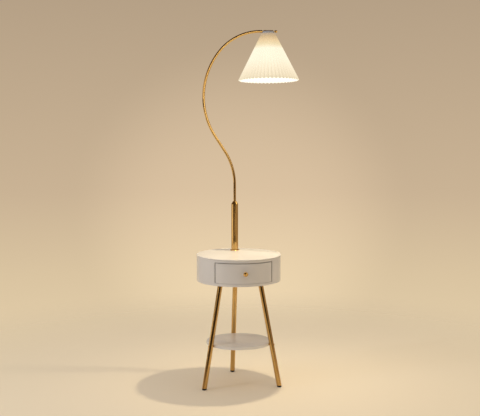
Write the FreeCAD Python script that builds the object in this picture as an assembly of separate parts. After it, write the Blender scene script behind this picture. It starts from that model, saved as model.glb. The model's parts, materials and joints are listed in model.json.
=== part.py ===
import FreeCAD, Part

# A floor lamp that grows out of a round side table. Three splayed tubes carry a drum with a
# curved drawer and, lower down, a small shelf. A post behind the middle of the tabletop holds
# a tube bent in a swan neck, and a pleated cone shade tilts on the tube's level end.
#
# Millimetres. While it is modelled, the drum's axis is X = Y = 0, the floor is Z = 0 and the
# drawer faces -Y. At the end everything moves so that the origin is the bottom centre of the
# whole lamp's box.

import os
from math import cos, hypot, pi, radians, sin, sqrt

V = FreeCAD.Vector
X_AXIS = V(1, 0, 0)
Z_AXIS = V(0, 0, 1)
OVERSHOOT = 1.0               # how far a cutter runs past the face that it cuts

# ---------------------------------------------------------------- driving dimensions

# Clearances
SLIP = 0.05                   # radial play of a shaft that turns in its bore
SEAT = 0.02                   # radial play of pieces that are pressed or glued together
AXIAL_PLAY = 0.1              # between a turning shoulder and its seat

# Drum
TABLE_HEIGHT = 597.0          # floor to tabletop
DRUM_DIAMETER = 380.0
TOP_THICKNESS = 15.0
TOP_EDGE_RADIUS = 1.5
TOP_LIP = 1.5                 # overhang of the tabletop's lip past the shell, bevelled below
TOP_LIP_HEIGHT = 5.0
BOTTOM_THICKNESS = 12.0
BAY_HEIGHT = 92.0             # clear height between the two boards
SHELL_THICKNESS = 8.0
PARTITION_THICKNESS = 12.0
PARTITION_END_GAP = 2.5       # between a partition's ends and the shell

# Drawer
OPENING_WIDTH = 256.0         # of the gap in the side shell
DRAWER_GAP = 3.0              # beside and over the drawer front
DRAWER_FOOT_GAP = 1.2         # under it
DRAWER_FRONT_THICKNESS = 12.0
DRAWER_BOARD = 10.0           # sides and back
DRAWER_BASE_THICKNESS = 5.0
DRAWER_BASE_LIFT = 9.0        # underside of the drawer base over the bottom board
DRAWER_DEPTH = 238.0          # front of the drum to the outside of the drawer back
DRAWER_SIDE_DROP = 20.0       # top of the drawer sides under the top board
DRAWER_BACK_DROP = 6.0        # top of the drawer back under the top board
DRAWER_TRAVEL = 150.0
STOP_LENGTH = 60.0
STOP_THICKNESS = 12.0
STOP_DROP = 15.0
BUMPER_RADIUS = 6.0
BUMPER_LENGTH = 9.0
BUMPER_SPREAD = 160.0

# Drawer rails: a steel channel on the partition and a smaller one on the drawer
RAIL_SPACE = 12.7
RAIL_HEIGHT = 35.0
RAIL_DEPTH = 11.0
RAIL_SHEET = 1.2
RAIL_PLAY = 0.5
RAIL_SETBACK = 4.0            # from the partition's ends
RAIL_CENTRE_DROP = 52.0       # rail's middle under the top board

# Knob
KNOB_DIAMETER = 21.0
KNOB_PROJECTION = 24.0
KNOB_NECK_DIAMETER = 9.0
KNOB_FOOT_DIAMETER = 13.0
KNOB_FOOT_HEIGHT = 1.5
KNOB_SCREW_DIAMETER = 4.0
KNOB_SCREW_HEAD_DIAMETER = 9.0
KNOB_SCREW_HEAD_HEIGHT = 2.5
KNOB_SCREW_REACH = 9.0        # into the knob

# Legs
LEG_DIAMETER = 22.0
LEG_WALL = 1.5
FOOT_CIRCLE_RADIUS = 197.5
LEG_TOP_CIRCLE_RADIUS = 103.5
REAR_LEG_ANGLE = 90.0
LEG_SPACING_ANGLE = 120.0
FOOT_CAP_SOLE = 8.0           # height of the cap below the tube's end
FOOT_CAP_INSET = 1.0          # how much smaller in radius it is than the tube
FOOT_CAP_CHAMFER = 2.5
FOOT_CAP_SPIGOT = 14.0        # inside the tube
LEG_PLUG_LENGTH = 22.0
LEG_BOLT_DIAMETER = 8.0
LEG_BOLT_HEAD_DIAMETER = 18.0
LEG_BOLT_HEAD_HEIGHT = 4.0
LEG_BOLT_HEAD_SLOPE = 3.0     # how far the head's rim draws in
LEG_WASHER_DIAMETER = 26.0
LEG_WASHER_THICKNESS = 1.6
LEG_BOLT_REACH = 16.0         # into the plug

# Shelf
SHELF_DIAMETER = 293.0
SHELF_THICKNESS = 12.0
SHELF_TOP_HEIGHT = 199.0
SHELF_EDGE_RADIUS = 1.5
STANDOFF_DIAMETER = 11.0
STANDOFF_BITE = 5.0           # flat cut into the shelf's edge under each stand-off
SHELF_SCREW_DIAMETER = 5.0
SHELF_SCREW_BITE = 26.0       # into the shelf
SHELF_SCREW_HEAD_DIAMETER = 7.5
SHELF_SCREW_HEAD_HEIGHT = 1.4

# Post
POST_BACK = 121.0             # behind the drum's axis
POST_DIAMETER = 32.0
POST_WALL = 1.5
POST_HEIGHT = 229.0           # tabletop to the collar's top
FLANGE_DIAMETER = 42.0
FLANGE_HEIGHT = 5.0           # over the tabletop
FLANGE_SEAT_DEPTH = 1.0       # round recess in the tabletop that locates the flange
FLANGE_CHAMFER = 1.5
SPIGOT_LENGTH = 15.0
COLLAR_CONE_HEIGHT = 12.5
COLLAR_TOP_DIAMETER = 16.5
STUD_DIAMETER = 10.0
STUD_BORE = 7.0
STUD_TAIL = 2.0               # below the nut
NUT_ACROSS_FLATS = 17.0
NUT_HEIGHT = 6.0
POST_WASHER_DIAMETER = 38.0
POST_WASHER_THICKNESS = 2.0

# Arm
ARM_DIAMETER = 12.0
ARM_WALL = 1.2
ARM_DEPTH_IN_POST = 70.0
BEND_START_HEIGHT = 902.5     # above the floor, where the arm leaves the vertical
NECK_RADIUS = 284.0           # lower bend, away from the shade
NECK_ANGLE = 33.0
SLOPE_LENGTH = 81.0
BOW_RADIUS = 330.0            # side of the big bow
BOW_ANGLE = 72.0
CROWN_RADIUS = 246.0          # top of the big bow, down to level
LEVEL_END = 3.5               # straight end of the tube
STOP_RING_DIAMETER = 19.0
STOP_RING_HEIGHT = 8.0
STOP_PLAY = 0.5               # between the lug and the tube, and the ring and the tooth
STOP_OVERLAP = 1.0            # how far the tooth and the lug run into what carries them
BUSH_HEIGHT = 12.0
STOP_TOOTH_ANGLE = 14.0       # width of the tooth on the bush and of the lug on the ring
ARM_TAIL = 6.0                # arm tube below the bush

# Tilt joint at the arm's end
PIN_DIAMETER = 7.0
PIN_SHOULDER = 1.5            # of full diameter, against the tube's end
BARREL_LENGTH = 42.0
BARREL_GAP = 9.5              # arm tube's end to the barrel
BALL_DIAMETER = 12.5
BALL_GAP = 9.0                # barrel to the ball nut

# Lamp head, measured down the shade's axis from the tilt axis
SHADE_LEAN = 4.0              # degrees the opening faces the front, as it stands
CAP_RADIUS = 28.5
CAP_HEIGHT = 9.0
CAP_EDGE_RADIUS = 4.0
CAP_PIN_ROOM = 1.0            # round the pin where it leaves the cap
SHADE_RIM_RADIUS = 140.0      # over the fold tops
SHADE_TOP_RADIUS = 31.5
SHADE_HEIGHT = 213.0
PLEATS = 48
PLEAT_DEPTH_RIM = 7.0
PLEAT_DEPTH_TOP = 3.0
SHADE_SHEET = 0.9
TOP_RING_WIDTH = 4.0
TOP_RING_HEIGHT = 8.0
CARRIER_DEPTH = 70.0          # upper face of the carrier plate
CARRIER_THICKNESS = 2.0
CARRIER_VENTS = 12
CARRIER_VENT_RADIUS = 3.0
NIPPLE_DIAMETER = 10.0
NIPPLE_BORE = 7.0
NIPPLE_END = 22.0
HOLDER_TOP = 12.0
HOLDER_RADIUS = 20.0
HOLDER_NECK_RADIUS = 9.0
HOLDER_SHOULDER = 14.0        # height of the shoulder under its top
HOLDER_SKIRT_RADIUS = 19.0    # threaded skirt for the shade ring
HOLDER_SKIRT_END = 79.0
HOLDER_BORE_RADIUS = 14.2
SOCKET_DEPTH = 44.0           # socket's floor
SHADE_RING_RADIUS = 28.0
SHADE_RING_HEIGHT = 7.0
BULB_BASE_RADIUS = 13.2
BULB_BASE_TOP = 50.0
BULB_BASE_SHOULDER = 3.0
BULB_CONTACT_RADIUS = 4.5
BULB_NECK_DEPTH = 79.0
BULB_RADIUS = 30.0
BULB_SHOULDER_ANGLE = 35.0    # over the globe's middle, where the neck's cone meets it
BULB_GLOBE_DEPTH = 126.0      # centre of the globe
BULB_GLASS = 1.0

# Cable grommet in the back of the shell
GROMMET_HEIGHT = 24.0         # over the bottom board
GROMMET_RADIUS = 8.0
GROMMET_BORE_RADIUS = 4.0
GROMMET_FLANGE_RADIUS = 11.0
GROMMET_FLANGE_THICKNESS = 2.0

# Screws up through the bottom board into the partitions
PANEL_SCREW_DIAMETER = 5.0
PANEL_SCREW_LENGTH = 40.0
PANEL_SCREW_HEAD_DIAMETER = 9.0
PANEL_SCREW_HEAD_HEIGHT = 3.0
PANEL_SCREW_SPACING = 150.0

# ---------------------------------------------------------------- worked out from them

DRUM_RADIUS = DRUM_DIAMETER / 2
TOP_UNDERSIDE = TABLE_HEIGHT - TOP_THICKNESS
BAY_FLOOR = TOP_UNDERSIDE - BAY_HEIGHT
DRUM_UNDERSIDE = BAY_FLOOR - BOTTOM_THICKNESS
SHELL_INSIDE = DRUM_RADIUS - SHELL_THICKNESS
PARTITION_INNER_X = OPENING_WIDTH / 2
PARTITION_OUTER_X = PARTITION_INNER_X + PARTITION_THICKNESS
PARTITION_END_Y = sqrt(SHELL_INSIDE ** 2 - PARTITION_OUTER_X ** 2) - PARTITION_END_GAP
RAIL_END_Y = PARTITION_END_Y - RAIL_SETBACK
DRAWER_HALF_WIDTH = PARTITION_INNER_X - RAIL_SPACE
DRAWER_BACK_Y = DRAWER_DEPTH - DRUM_RADIUS
DRAWER_BACK_INSIDE_Y = DRAWER_BACK_Y - DRAWER_BOARD
DRAWER_BASE_Z = BAY_FLOOR + DRAWER_BASE_LIFT
DRAWER_FLOOR_Z = DRAWER_BASE_Z + DRAWER_BASE_THICKNESS
KNOB_Z = (BAY_FLOOR + TOP_UNDERSIDE) / 2
DRAWER_FRONT_INSIDE = DRUM_RADIUS - DRAWER_FRONT_THICKNESS
RAIL_Z = TOP_UNDERSIDE - RAIL_CENTRE_DROP
LEG_RADIUS = LEG_DIAMETER / 2
LEG_BORE_RADIUS = LEG_RADIUS - LEG_WALL
LEG_SPLAY = FOOT_CIRCLE_RADIUS - LEG_TOP_CIRCLE_RADIUS
LEG_ANGLES = {
    "rear": REAR_LEG_ANGLE,
    "front_left": REAR_LEG_ANGLE + LEG_SPACING_ANGLE,
    "front_right": REAR_LEG_ANGLE - LEG_SPACING_ANGLE,
}
SHELF_RADIUS = SHELF_DIAMETER / 2
POST_RADIUS = POST_DIAMETER / 2
POST_BORE = POST_RADIUS - POST_WALL
POST_TOP = TABLE_HEIGHT + POST_HEIGHT
COLLAR_BASE = POST_TOP - COLLAR_CONE_HEIGHT
ARM_RADIUS = ARM_DIAMETER / 2
ARM_BOTTOM = POST_TOP - ARM_DEPTH_IN_POST
BUSH_BOTTOM = ARM_BOTTOM + ARM_TAIL
BUSH_TOP = BUSH_BOTTOM + BUSH_HEIGHT
PIN_RADIUS = PIN_DIAMETER / 2
STUD_RADIUS = STUD_DIAMETER / 2

# ---------------------------------------------------------------- helpers


def box(x0, x1, y0, y1, z0, z1):
    return Part.makeBox(x1 - x0, y1 - y0, z1 - z0, V(x0, y0, z0))


def rod(radius, start, end):
    """Round bar from one point to another."""
    run = end - start
    return Part.makeCylinder(radius, run.Length, start, run)


def upright(radius, z0, z1, x=0.0, y=0.0):
    return rod(radius, V(x, y, z0), V(x, y, z1))


def pipe(outer, inner, z0, z1, x=0.0, y=0.0):
    return upright(outer, z0, z1, x, y).cut(upright(inner, z0, z1, x, y))


def turned(outline, x=0.0, y=0.0):
    """Solid of revolution about a vertical axis, from (radius, height) points."""
    points = [V(x + r, y, z) for r, z in outline]
    face = Part.Face(Part.makePolygon(points + [points[0]]))
    return face.revolve(V(x, y, 0), Z_AXIS, 360)


def turned_edges(edges, x=0.0, y=0.0):
    """The same from a closed row of edges."""
    return Part.Face(Part.Wire(edges)).revolve(V(x, y, 0), Z_AXIS, 360)


def rounded(shape, radius, wanted):
    """Fillets the edges that the test picks out."""
    return shape.makeFillet(radius, [edge for edge in shape.Edges if wanted(edge)])


def is_level_circle(edge, radius, z):
    at_height = abs(edge.BoundBox.ZMin - z) < 1e-3 and abs(edge.BoundBox.ZMax - z) < 1e-3
    round_edge = isinstance(edge.Curve, Part.Circle)
    return at_height and round_edge and abs(edge.Curve.Radius - radius) < 1e-3


def one_solid(shape):
    return shape.Solids[0] if len(shape.Solids) == 1 else shape


# ---------------------------------------------------------------- drum


def leg_direction(angle):
    return V(cos(radians(angle)), sin(radians(angle)), 0)


def leg_centre(angle, z):
    """Point on a leg's axis at a height."""
    reach = FOOT_CIRCLE_RADIUS - LEG_SPLAY * z / DRUM_UNDERSIDE
    return leg_direction(angle) * reach + V(0, 0, z)


def panel_screw_places():
    x = (PARTITION_INNER_X + PARTITION_OUTER_X) / 2
    return [(sx * x, sy * PANEL_SCREW_SPACING / 2) for sx in (-1, 1) for sy in (-1, 1)]


def make_top_board():
    """Tabletop with a thin lip over the shell and a shallow seat for the post's flange."""
    lip_radius = DRUM_RADIUS + TOP_LIP
    bevel_foot = TABLE_HEIGHT - TOP_LIP_HEIGHT
    board = turned([(0, TOP_UNDERSIDE), (DRUM_RADIUS, TOP_UNDERSIDE), (DRUM_RADIUS, bevel_foot),
                    (lip_radius, bevel_foot + TOP_LIP), (lip_radius, TABLE_HEIGHT), (0, TABLE_HEIGHT)])
    board = rounded(board, TOP_EDGE_RADIUS, lambda e: is_level_circle(e, lip_radius, TABLE_HEIGHT))
    seat_floor = TABLE_HEIGHT - FLANGE_SEAT_DEPTH
    board = board.cut(upright(FLANGE_DIAMETER / 2 + SEAT, seat_floor, TABLE_HEIGHT, 0, POST_BACK))
    return board.cut(upright(STUD_RADIUS + SEAT, TOP_UNDERSIDE, TABLE_HEIGHT, 0, POST_BACK))


def make_side_shell():
    shell = pipe(DRUM_RADIUS, SHELL_INSIDE, BAY_FLOOR, TOP_UNDERSIDE)
    half = OPENING_WIDTH / 2
    shell = shell.cut(box(-half, half, -DRUM_RADIUS, 0, BAY_FLOOR, TOP_UNDERSIDE))
    z = BAY_FLOOR + GROMMET_HEIGHT
    return shell.cut(rod(GROMMET_RADIUS + SEAT, V(0, 0, z), V(0, DRUM_RADIUS + OVERSHOOT, z)))


def make_bottom_board():
    board = upright(DRUM_RADIUS, DRUM_UNDERSIDE, BAY_FLOOR)
    board = rounded(board, TOP_EDGE_RADIUS, lambda e: is_level_circle(e, DRUM_RADIUS, DRUM_UNDERSIDE))
    for angle in LEG_ANGLES.values():
        at = leg_centre(angle, DRUM_UNDERSIDE)
        board = board.cut(upright(LEG_BOLT_DIAMETER / 2 + SEAT, DRUM_UNDERSIDE, BAY_FLOOR, at.x, at.y))
    for x, y in panel_screw_places():
        board = board.cut(panel_screw_hole(x, y))
    return board


def panel_screw(x, y, play=0.0):
    """Countersunk screw whose head is flush with the drum's underside."""
    shank = PANEL_SCREW_DIAMETER / 2 + play
    head = PANEL_SCREW_HEAD_DIAMETER / 2 + play
    z0 = DRUM_UNDERSIDE
    z1 = z0 + PANEL_SCREW_HEAD_HEIGHT
    z2 = z0 + PANEL_SCREW_LENGTH + play
    return turned([(0, z0), (head, z0), (shank, z1), (shank, z2), (0, z2)], x, y)


def panel_screw_hole(x, y):
    return panel_screw(x, y, SEAT)


def make_panel_screws():
    return Part.makeCompound([panel_screw(x, y) for x, y in panel_screw_places()])


def make_partition(side):
    x0, x1 = sorted((side * PARTITION_INNER_X, side * PARTITION_OUTER_X))
    panel = box(x0, x1, -PARTITION_END_Y, PARTITION_END_Y, BAY_FLOOR, TOP_UNDERSIDE)
    for x, y in panel_screw_places():
        panel = panel.cut(panel_screw_hole(x, y))
    return panel


def make_cabinet_rail(side):
    """Channel on the partition, open towards the drawer."""
    web = PARTITION_INNER_X
    lip = web - RAIL_DEPTH
    z0 = RAIL_Z - RAIL_HEIGHT / 2
    z1 = RAIL_Z + RAIL_HEIGHT / 2
    outer = box(lip, web, -RAIL_END_Y, RAIL_END_Y, z0, z1)
    hollow = box(lip, web - RAIL_SHEET, -RAIL_END_Y, RAIL_END_Y, z0 + RAIL_SHEET, z1 - RAIL_SHEET)
    rail = outer.cut(hollow)
    return rail if side > 0 else rail.mirror(V(0, 0, 0), X_AXIS)


def make_drawer_rail(side):
    """Smaller channel on the drawer's side, nested in the cabinet rail."""
    web = DRAWER_HALF_WIDTH
    lip = PARTITION_INNER_X - RAIL_SHEET - RAIL_PLAY
    half = RAIL_HEIGHT / 2 - RAIL_SHEET - RAIL_PLAY
    outer = box(web, lip, -RAIL_END_Y, DRAWER_BACK_Y, RAIL_Z - half, RAIL_Z + half)
    inner_half = half - RAIL_SHEET
    hollow = box(web + RAIL_SHEET, lip, -RAIL_END_Y, DRAWER_BACK_Y, RAIL_Z - inner_half, RAIL_Z + inner_half)
    rail = outer.cut(hollow)
    return rail if side > 0 else rail.mirror(V(0, 0, 0), X_AXIS)


def make_drawer_stop():
    """Block under the top board that the drawer's back meets when it is pulled out."""
    back = DRAWER_BACK_INSIDE_Y - DRAWER_TRAVEL
    half = STOP_LENGTH / 2
    z0 = TOP_UNDERSIDE - STOP_DROP
    return box(-half, half, back - STOP_THICKNESS, back, z0, TOP_UNDERSIDE)


def make_closing_bumpers():
    """Two rubber buffers on the bottom board, behind the closed drawer, each on a block."""
    bumpers = []
    z = DRAWER_FLOOR_Z + BUMPER_RADIUS
    for side in (-1, 1):
        x = side * BUMPER_SPREAD / 2
        buffer = rod(BUMPER_RADIUS, V(x, DRAWER_BACK_Y, z), V(x, DRAWER_BACK_Y + BUMPER_LENGTH, z))
        block_y = DRAWER_BACK_Y + BUMPER_LENGTH
        block = box(x - BUMPER_RADIUS, x + BUMPER_RADIUS, block_y, block_y + BUMPER_LENGTH,
                    BAY_FLOOR, z + BUMPER_RADIUS)
        bumpers.append(buffer.fuse(block).removeSplitter())
    return Part.makeCompound(bumpers)


def make_grommet():
    """Rubber bush that the lead passes through, at the back of the shell."""
    z = BAY_FLOOR + GROMMET_HEIGHT
    inside = SHELL_INSIDE - GROMMET_FLANGE_THICKNESS
    outside = DRUM_RADIUS + GROMMET_FLANGE_THICKNESS
    body = rod(GROMMET_RADIUS, V(0, inside, z), V(0, outside, z))
    lip = rod(GROMMET_FLANGE_RADIUS, V(0, DRUM_RADIUS, z), V(0, outside, z))
    return body.fuse(lip).cut(rod(GROMMET_BORE_RADIUS, V(0, inside, z), V(0, outside, z)))


# ---------------------------------------------------------------- drawer


def make_drawer_front():
    half = OPENING_WIDTH / 2 - DRAWER_GAP
    z0 = BAY_FLOOR + DRAWER_FOOT_GAP
    z1 = TOP_UNDERSIDE - DRAWER_GAP
    front = pipe(DRUM_RADIUS, DRAWER_FRONT_INSIDE, z0, z1)
    front = front.common(box(-half, half, -DRUM_RADIUS, 0, z0, z1))
    screw = rod(KNOB_SCREW_DIAMETER / 2 + SEAT, V(0, -DRUM_RADIUS - OVERSHOOT, KNOB_Z), V(0, 0, KNOB_Z))
    return one_solid(front.cut(screw))


def inside_front(shape):
    """Trims a drawer board to the curved inner face of the front."""
    return shape.common(upright(DRAWER_FRONT_INSIDE, BAY_FLOOR, TOP_UNDERSIDE))


def make_drawer_side(side):
    x0, x1 = sorted((side * DRAWER_HALF_WIDTH, side * (DRAWER_HALF_WIDTH - DRAWER_BOARD)))
    top = TOP_UNDERSIDE - DRAWER_SIDE_DROP
    return one_solid(inside_front(box(x0, x1, -DRUM_RADIUS, DRAWER_BACK_Y, DRAWER_BASE_Z, top)))


def make_drawer_back():
    half = DRAWER_HALF_WIDTH - DRAWER_BOARD
    top = TOP_UNDERSIDE - DRAWER_BACK_DROP
    return box(-half, half, DRAWER_BACK_INSIDE_Y, DRAWER_BACK_Y, DRAWER_BASE_Z, top)


def make_drawer_base():
    half = DRAWER_HALF_WIDTH - DRAWER_BOARD
    panel = box(-half, half, -DRUM_RADIUS, DRAWER_BACK_INSIDE_Y, DRAWER_BASE_Z, DRAWER_FLOOR_Z)
    return one_solid(inside_front(panel))


def make_knob():
    """Turned knob: a foot on the drawer, a thin neck and a ball."""
    ball = KNOB_DIAMETER / 2
    neck = KNOB_NECK_DIAMETER / 2
    foot = KNOB_FOOT_DIAMETER / 2
    foot_height = KNOB_FOOT_HEIGHT
    centre = KNOB_PROJECTION - ball
    neck_top = V(neck, 0, centre - sqrt(ball ** 2 - neck ** 2))
    tip = V(0, 0, KNOB_PROJECTION)
    widest = V(ball, 0, centre)
    edges = [
        Part.makeLine(V(0, 0, 0), V(foot, 0, 0)),
        Part.makeLine(V(foot, 0, 0), V(foot, 0, foot_height * 0.5)),
        Part.makeLine(V(foot, 0, foot_height * 0.5), V(neck, 0, foot_height)),
        Part.makeLine(V(neck, 0, foot_height), neck_top),
        Part.Arc(neck_top, widest, tip).toShape(),
        Part.makeLine(tip, V(0, 0, 0)),
    ]
    knob = turned_edges(edges)
    knob = knob.cut(upright(KNOB_SCREW_DIAMETER / 2 + SEAT, 0, KNOB_SCREW_REACH + SEAT))
    knob.rotate(V(0, 0, 0), X_AXIS, 90)
    knob.translate(V(0, -DRUM_RADIUS, KNOB_Z))
    return knob


def make_knob_screw():
    head = KNOB_SCREW_HEAD_DIAMETER / 2
    inside_y = -sqrt(DRAWER_FRONT_INSIDE ** 2 - head ** 2)
    shank = rod(KNOB_SCREW_DIAMETER / 2, V(0, -DRUM_RADIUS - KNOB_SCREW_REACH, KNOB_Z), V(0, inside_y, KNOB_Z))
    return shank.fuse(rod(head, V(0, inside_y, KNOB_Z), V(0, inside_y + KNOB_SCREW_HEAD_HEIGHT, KNOB_Z)))


# ---------------------------------------------------------------- legs and shelf


def leg_bar(angle, radius, z0, z1):
    """Round bar along a leg's axis, with level ends."""
    low = leg_centre(angle, z0 - 3 * radius)
    high = leg_centre(angle, z1 + 3 * radius)
    reach = FOOT_CIRCLE_RADIUS + 3 * radius
    return rod(radius, low, high).common(box(-reach, reach, -reach, reach, z0, z1))


def shelf_middle():
    return SHELF_TOP_HEIGHT - SHELF_THICKNESS / 2


def shelf_screw_line(angle):
    """Screw's inner end, shelf's seat for the stand-off, and the underside of the screw's head."""
    out = leg_direction(angle)
    z = shelf_middle()
    centre = leg_centre(angle, z)
    slope = hypot(LEG_SPLAY, DRUM_UNDERSIDE) / DRUM_UNDERSIDE
    lean_under_head = SHELF_SCREW_HEAD_DIAMETER / 2 * LEG_SPLAY / DRUM_UNDERSIDE
    head = hypot(centre.x, centre.y) + LEG_RADIUS * slope + lean_under_head
    radii = (SHELF_RADIUS - SHELF_SCREW_BITE, SHELF_RADIUS - STANDOFF_BITE, head)
    return [out * r + V(0, 0, z) for r in radii]


def make_leg(angle):
    outer = leg_bar(angle, LEG_RADIUS, FOOT_CAP_SOLE, DRUM_UNDERSIDE)
    bore = leg_bar(angle, LEG_BORE_RADIUS, FOOT_CAP_SOLE - OVERSHOOT, DRUM_UNDERSIDE + OVERSHOOT)
    start, _, end = shelf_screw_line(angle)
    return outer.cut(bore).cut(rod(SHELF_SCREW_DIAMETER / 2 + SEAT, start, end))


def make_leg_plug(angle):
    """Solid end in the leg's top that takes the bolt."""
    plug = leg_bar(angle, LEG_BORE_RADIUS - SEAT, DRUM_UNDERSIDE - LEG_PLUG_LENGTH, DRUM_UNDERSIDE)
    at = leg_centre(angle, DRUM_UNDERSIDE)
    thread = LEG_BOLT_DIAMETER / 2 + SEAT
    return plug.cut(upright(thread, DRUM_UNDERSIDE - LEG_BOLT_REACH, DRUM_UNDERSIDE, at.x, at.y))


def make_leg_plugs():
    return Part.makeCompound([make_leg_plug(angle) for angle in LEG_ANGLES.values()])


def make_leg_bolts():
    """Bolts from inside the drum, each with its washer, down into the leg plugs."""
    bolts = []
    for angle in LEG_ANGLES.values():
        at = leg_centre(angle, DRUM_UNDERSIDE)
        washer_top = BAY_FLOOR + LEG_WASHER_THICKNESS
        bolts.append(turned([
            (0, DRUM_UNDERSIDE - LEG_BOLT_REACH),
            (LEG_BOLT_DIAMETER / 2, DRUM_UNDERSIDE - LEG_BOLT_REACH),
            (LEG_BOLT_DIAMETER / 2, BAY_FLOOR),
            (LEG_WASHER_DIAMETER / 2, BAY_FLOOR),
            (LEG_WASHER_DIAMETER / 2, washer_top),
            (LEG_BOLT_HEAD_DIAMETER / 2, washer_top),
            (LEG_BOLT_HEAD_DIAMETER / 2 - LEG_BOLT_HEAD_SLOPE, washer_top + LEG_BOLT_HEAD_HEIGHT),
            (0, washer_top + LEG_BOLT_HEAD_HEIGHT),
        ], at.x, at.y))
    return Part.makeCompound(bolts)


def make_foot_cap(angle):
    """Moulded foot with a spigot in the tube, cut level where it stands, its lower edge taken off."""
    foot = leg_bar(angle, LEG_RADIUS - FOOT_CAP_INSET, 0, FOOT_CAP_SOLE)
    sole_edges = [edge for edge in foot.Edges if edge.BoundBox.ZMax < FOOT_CAP_SOLE / 2]
    foot = foot.makeChamfer(FOOT_CAP_CHAMFER, sole_edges)
    return foot.fuse(leg_bar(angle, LEG_BORE_RADIUS - SEAT, FOOT_CAP_SOLE / 2, FOOT_CAP_SOLE + FOOT_CAP_SPIGOT))


def make_shelf():
    z0 = SHELF_TOP_HEIGHT - SHELF_THICKNESS
    shelf = upright(SHELF_RADIUS, z0, SHELF_TOP_HEIGHT)
    shelf = rounded(shelf, SHELF_EDGE_RADIUS, lambda e: is_level_circle(e, SHELF_RADIUS, SHELF_TOP_HEIGHT))
    for angle in LEG_ANGLES.values():
        start, seat, end = shelf_screw_line(angle)
        out = leg_direction(angle)
        shelf = shelf.cut(rod(STANDOFF_DIAMETER / 2 + SEAT, seat, seat + out * SHELF_RADIUS))
        shelf = shelf.cut(rod(SHELF_SCREW_DIAMETER / 2 + SEAT, start, end))
    return shelf


def make_standoffs():
    """Short bars between the shelf's edge and each leg, hollowed to the tube."""
    pieces = []
    for angle in LEG_ANGLES.values():
        _, seat, end = shelf_screw_line(angle)
        centre = leg_centre(angle, shelf_middle())
        bar = rod(STANDOFF_DIAMETER / 2, seat, V(centre.x, centre.y, centre.z))
        z = shelf_middle()
        bar = bar.cut(leg_bar(angle, LEG_RADIUS + SEAT, z - STANDOFF_DIAMETER, z + STANDOFF_DIAMETER))
        bar = bar.cut(rod(SHELF_SCREW_DIAMETER / 2 + SEAT, seat, end))
        pieces.append(one_solid(bar))
    return Part.makeCompound(pieces)


def make_shelf_screws():
    """Screws through each leg and stand-off into the shelf's edge."""
    pieces = []
    for angle in LEG_ANGLES.values():
        start, _, end = shelf_screw_line(angle)
        out = leg_direction(angle)
        shank = rod(SHELF_SCREW_DIAMETER / 2, start, end)
        head = rod(SHELF_SCREW_HEAD_DIAMETER / 2, end, end + out * SHELF_SCREW_HEAD_HEIGHT)
        pieces.append(shank.fuse(head))
    return Part.makeCompound(pieces)


# ---------------------------------------------------------------- post


def make_post_flange():
    """Turned foot of the post, with a spigot inside the tube and a threaded hole."""
    z0 = TABLE_HEIGHT - FLANGE_SEAT_DEPTH
    z1 = TABLE_HEIGHT + FLANGE_HEIGHT
    z2 = z1 + SPIGOT_LENGTH
    r = FLANGE_DIAMETER / 2
    spigot = POST_BORE - SEAT
    bore = STUD_RADIUS + SEAT
    return turned([(bore, z0), (r, z0), (r, z1 - FLANGE_CHAMFER), (r - FLANGE_CHAMFER, z1),
                   (spigot, z1), (spigot, z2), (bore, z2)], 0, POST_BACK)


def make_post_tube():
    return pipe(POST_RADIUS, POST_BORE, TABLE_HEIGHT + FLANGE_HEIGHT, COLLAR_BASE, 0, POST_BACK)


def make_post_collar():
    """Cone on top of the post that guides the arm."""
    bore = ARM_RADIUS + SLIP
    spigot = POST_BORE - SEAT
    return turned([(bore, COLLAR_BASE - SPIGOT_LENGTH), (spigot, COLLAR_BASE - SPIGOT_LENGTH),
                   (spigot, COLLAR_BASE), (POST_RADIUS, COLLAR_BASE),
                   (COLLAR_TOP_DIAMETER / 2, POST_TOP), (bore, POST_TOP)], 0, POST_BACK)


def sector(inner, outer, middle, width, z0, z1):
    """Block between two radii, as wide as an angle, about the post's axis."""
    low = radians(middle - width / 2)
    high = radians(middle + width / 2)
    mid = radians(middle)

    def at(radius, angle):
        return V(radius * cos(angle), POST_BACK + radius * sin(angle), z0)

    edges = [
        Part.makeLine(at(inner, low), at(outer, low)),
        Part.Arc(at(outer, low), at(outer, mid), at(outer, high)).toShape(),
        Part.makeLine(at(outer, high), at(inner, high)),
        Part.Arc(at(inner, high), at(inner, mid), at(inner, low)).toShape(),
    ]
    return Part.Face(Part.Wire(edges)).extrude(V(0, 0, z1 - z0))


def make_swivel_bush():
    """Lower guide of the arm. Its upright tooth ends the arm's turn on either side."""
    bore = ARM_RADIUS + SLIP
    rim = POST_BORE - SEAT
    bush = pipe(rim, bore, BUSH_BOTTOM, BUSH_TOP, 0, POST_BACK)
    tooth_foot = STOP_RING_DIAMETER / 2 + STOP_PLAY
    z0 = BUSH_TOP - STOP_OVERLAP
    tooth = sector(tooth_foot, rim, 180, STOP_TOOTH_ANGLE, z0, BUSH_TOP + STOP_RING_HEIGHT)
    return bush.fuse(tooth).removeSplitter()


def make_post_stud():
    z0 = TOP_UNDERSIDE - POST_WASHER_THICKNESS - NUT_HEIGHT - STUD_TAIL
    z1 = TABLE_HEIGHT + FLANGE_HEIGHT + SPIGOT_LENGTH
    return pipe(STUD_RADIUS, STUD_BORE / 2, z0, z1, 0, POST_BACK)


def make_post_washer():
    return pipe(POST_WASHER_DIAMETER / 2, STUD_RADIUS + SEAT, TOP_UNDERSIDE - POST_WASHER_THICKNESS,
                TOP_UNDERSIDE, 0, POST_BACK)


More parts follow.
